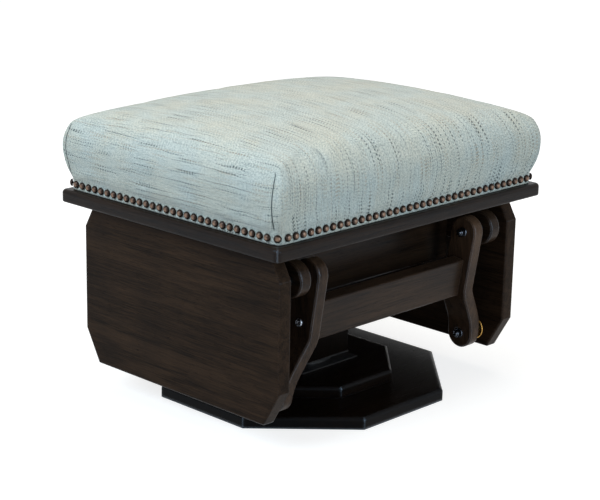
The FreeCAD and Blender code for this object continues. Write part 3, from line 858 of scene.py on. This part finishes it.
def nail_profile():
    """A dome over a flat underside, with the stub of a shank that ends in a point."""
    dome_rings = 7
    underside = -0.0004
    shank_end = -0.0030
    tip = -0.0042
    profile = [(0.0, NAIL_HEIGHT)]
    for step in range(1, dome_rings + 1):
        turn = math.pi / 2 * step / dome_rings
        profile.append((NAIL_RADIUS * math.sin(turn), NAIL_HEIGHT * math.cos(turn)))
    profile.append((NAIL_RADIUS * 0.96, underside))
    profile.append((NAIL_RADIUS * 0.30, underside))
    profile.append((NAIL_RADIUS * 0.12, shank_end))
    profile.append((0.0, tip))
    return profile


def make_nails(material):
    form = turned_piece(nail_profile(), segments=20)
    places = [facing(place + out * NAIL_STAND_OFF, out) for place, out in nail_row()]
    mesh = copies_mesh("upholstery_nails", form, places)
    dome = mesh.attributes.new("dome", "FLOAT", "POINT")
    heights = [max(0.0, point.z / NAIL_HEIGHT) for point in form[0]]
    dome.data.foreach_set("value", heights * len(places))
    shade_smooth(mesh)
    piece = new_object("upholstery_nails", mesh, material)
    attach(piece, "seat")


# Small hardware: profiles of (radius, height) points, turned round their bolts

BOLT_HEAD = [
    (0.0, 0.0022),
    (0.0021, 0.0022),
    (0.0025, 0.0042),
    (0.0046, 0.0040),
    (0.0060, 0.0030),
    (0.0066, 0.0014),
    (0.0066, 0.0),
]
NUT_FLANGE = [(0.0, 0.0014), (0.0072, 0.0014), (0.0078, 0.0008), (0.0079, 0.0)]
LOCK_COLLAR_AND_TIP = [
    (0.0, 0.0034),
    (0.0030, 0.0034),
    (0.0036, 0.0028),
    (0.0037, 0.0010),
    (0.0050, 0.0016),
    (0.0058, 0.0008),
    (0.0060, -0.0010),
]
PANEL_WASHER = [
    (0.0098, 0.0),
    (0.0098, 0.0013),
    (0.0104, 0.0016),
    (0.0176, 0.0016),
    (0.0184, 0.0009),
    (0.0185, 0.0),
]


def inward_places(face, pivot):
    """On all four inner faces at that x, at a pivot's height, each turned to the middle."""
    places = []
    for side in (-1, 1):
        for mirror in (-1, 1):
            places.append(facing((side * face, mirror * abs(pivot.y), pivot.z), (-side, 0, 0)))
    return places


def make_stretcher_bolts(steel):
    """Pan heads on the outer faces of the links, at the ends of the stretchers."""
    middle_y = (STRETCHER_LOW.y + STRETCHER_HIGH.y) / 2
    middle_z = (STRETCHER_LOW.z + STRETCHER_HIGH.z) / 2
    link_face = LINK_LOW.x + LINK_THICKNESS
    for body, mirror in (("front_links", 1), ("rear_links", -1)):
        places = [facing((side * link_face, mirror * middle_y, middle_z), (side, 0, 0)) for side in (-1, 1)]
        mesh = copies_mesh(body + "_stretcher_bolts", turned_piece(BOLT_HEAD, segments=28), places)
        shade_smooth(mesh)
        piece = new_object(mesh.name, mesh, steel)
        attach(piece, body)


def make_lock_rings(steel):
    """The flange under each pivot nut, and the lock ring and thread tip that stand out of it."""
    for name, body, pivot, link_face in (
        ("upper_nut_rings", "standing_frame", UPPER_PIVOT, LINK_LOW.x),
        ("lower_nut_rings", "seat", LOWER_PIVOT, LINK_HIGH.x - LINK_THICKNESS),
    ):
        nut_seat = link_face - NUT_PLAY
        for suffix, profile, segments, face in (
            ("", NUT_FLANGE, 28, nut_seat),
            ("_tips", LOCK_COLLAR_AND_TIP, 24, nut_seat - NUT_HEIGHT),
        ):
            mesh = copies_mesh(name + suffix, turned_piece(profile, segments), inward_places(face, pivot))
            shade_smooth(mesh)
            made = new_object(name + suffix, mesh, steel)
            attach(made, body)


def make_panel_washers(brass):
    """Wide flat washers round the insert flanges, on the inner faces of the side panels."""
    places = inward_places(PANEL_INNER, LOWER_PIVOT)
    mesh = copies_mesh("panel_washers", turned_piece(PANEL_WASHER, segments=40), places)
    piece = new_object("panel_washers", mesh, brass)
    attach(piece, "seat")


# Materials of the CAD nodes

BOARD_GRAIN = {
    "lower_base_plate": "X",
    "upper_base_plate": "X",
    "pedestal_board_front": "Z",
    "pedestal_board_rear": "Z",
    "pedestal_board_right": "Z",
    "pedestal_board_left": "Z",
    "platform": "X",
    "cross_board_front": "X",
    "cross_board_rear": "X",
    "side_rail_right": "Y",
    "side_rail_left": "Y",
    "front_stretcher": "X",
    "rear_stretcher": "X",
    "side_panel_right": "Y",
    "side_panel_left": "Y",
    "top_rail_front": "X",
    "top_rail_rear": "X",
    "top_rail_right": "Y",
    "top_rail_left": "Y",
}
# Per board: gloss; a scale of the stain's tone that also paints shade, darkest on the base plates and
# pedestal boards, then the top rails, platform and cross boards; and the strength of the painted edge
# highlight
BOARD_FINISH_AND_PAINTED_LIGHT = {
    "base_plate": {"gloss": 0.06, "tone_and_painted_light": 0.10, "edge": 0.008, "edge_highlight": 1.6},
    "pedestal": {"gloss": 0.02, "tone_and_painted_light": 0.1, "edge_highlight": 0.0},
    "platform": {"tone_and_painted_light": 0.4, "edge_highlight": 0.2},
    "cross_board": {"tone_and_painted_light": 0.4, "edge_highlight": 0.2},
    "stretcher": {"tone_and_painted_light": 0.85},
    "side_panel": {"gloss": 0.03, "tone_and_painted_light": 0.66},
    "top_rail": {"gloss": 0.10, "tone_and_painted_light": 0.36, "edge_highlight": 1.0},
}


def dress(node, material):
    cad_mesh = frame["nodes"][node].data
    cad_mesh.materials.clear()
    cad_mesh.materials.append(material)


def dress_boards():
    """Each board has its own piece of the grain, and the gloss, the tone with painted light and shade in it,
    and the painted edge highlight that go with its name.
    """
    for seed, (node, axis) in enumerate(BOARD_GRAIN.items(), start=1):
        finish_and_painted_light = next((BOARD_FINISH_AND_PAINTED_LIGHT[part] for part in BOARD_FINISH_AND_PAINTED_LIGHT if part in node), {})
        dress(node, wood(node + "_wood", axis, seed, **finish_and_painted_light))


def dress_links():
    """The grain follows the lean of the links; the front ones catch more light in the photograph, so their
    stain is scaled lighter, the right one most: painted light.
    """
    dress("front_link_right", wood("front_link_wood", "Z", 31, -LINK_LEAN, tone_and_painted_light=1.5))
    dress("front_link_left", wood("front_link_wood_left", "Z", 33, -LINK_LEAN, tone_and_painted_light=1.1))
    dress("rear_link_right", wood("rear_link_wood", "Z", 35, LINK_LEAN))
    dress("rear_link_left", wood("rear_link_wood_left", "Z", 37, LINK_LEAN))


def dress_metals(steel, dark_steel, brass):
    """Swivel plates, bolts, studs and inserts."""
    black_plate = metal("painted_plate", srgb(24, 24, 26), srgb(34, 33, 32), 0.42, 0.012, metallic=0.2)
    dress("swivel_lower_plate", black_plate)
    dress("swivel_upper_plate", black_plate)
    dress("king_bolt", steel)
    dress("upper_pivot_bolts", dark_steel)
    dress("lower_pivot_studs", dark_steel)
    dress("panel_inserts", brass)


def dress_hidden(fabric):
    """Parts inside the cushion and behind the panels."""
    plywood = raw_wood("plywood_board", "X", 3, srgb(214, 184, 138), srgb(190, 156, 112), layers=0.0036)
    hardwood = raw_wood("cleat_wood", "Y", 5, srgb(196, 160, 112), srgb(160, 122, 80))
    dress("panel_cleat_right", hardwood)
    dress("panel_cleat_left", hardwood)
    dress("seat_board", plywood)
    dress("seat_foam", plywood)
    dress("seat_cover", fabric)


# The whole

make_camera()
make_world()
make_lights()
make_floor()

fabric = weave_cloth()
# The seam thread's dark colour is painted shade in the grooves
make_seam_shade_lines(make_cushion(fabric), cotton("seam_shade_thread", srgb(62, 74, 76)))
make_nails(nail_metal())

steel = metal("zinc_plate", srgb(150, 156, 166), srgb(104, 110, 120), 0.28, 0.006)
dark_steel = metal("black_oxide", srgb(82, 88, 98), srgb(40, 42, 46), 0.26, 0.006)
brass = metal("brass_turned", srgb(214, 170, 96), srgb(166, 124, 66), 0.26, 0.006)
make_stretcher_bolts(steel)
make_lock_rings(dark_steel)
make_panel_washers(brass)

dress_boards()
dress_links()
dress_metals(steel, dark_steel, brass)
dress_hidden(fabric)

scene.view_settings.view_transform = "Standard"
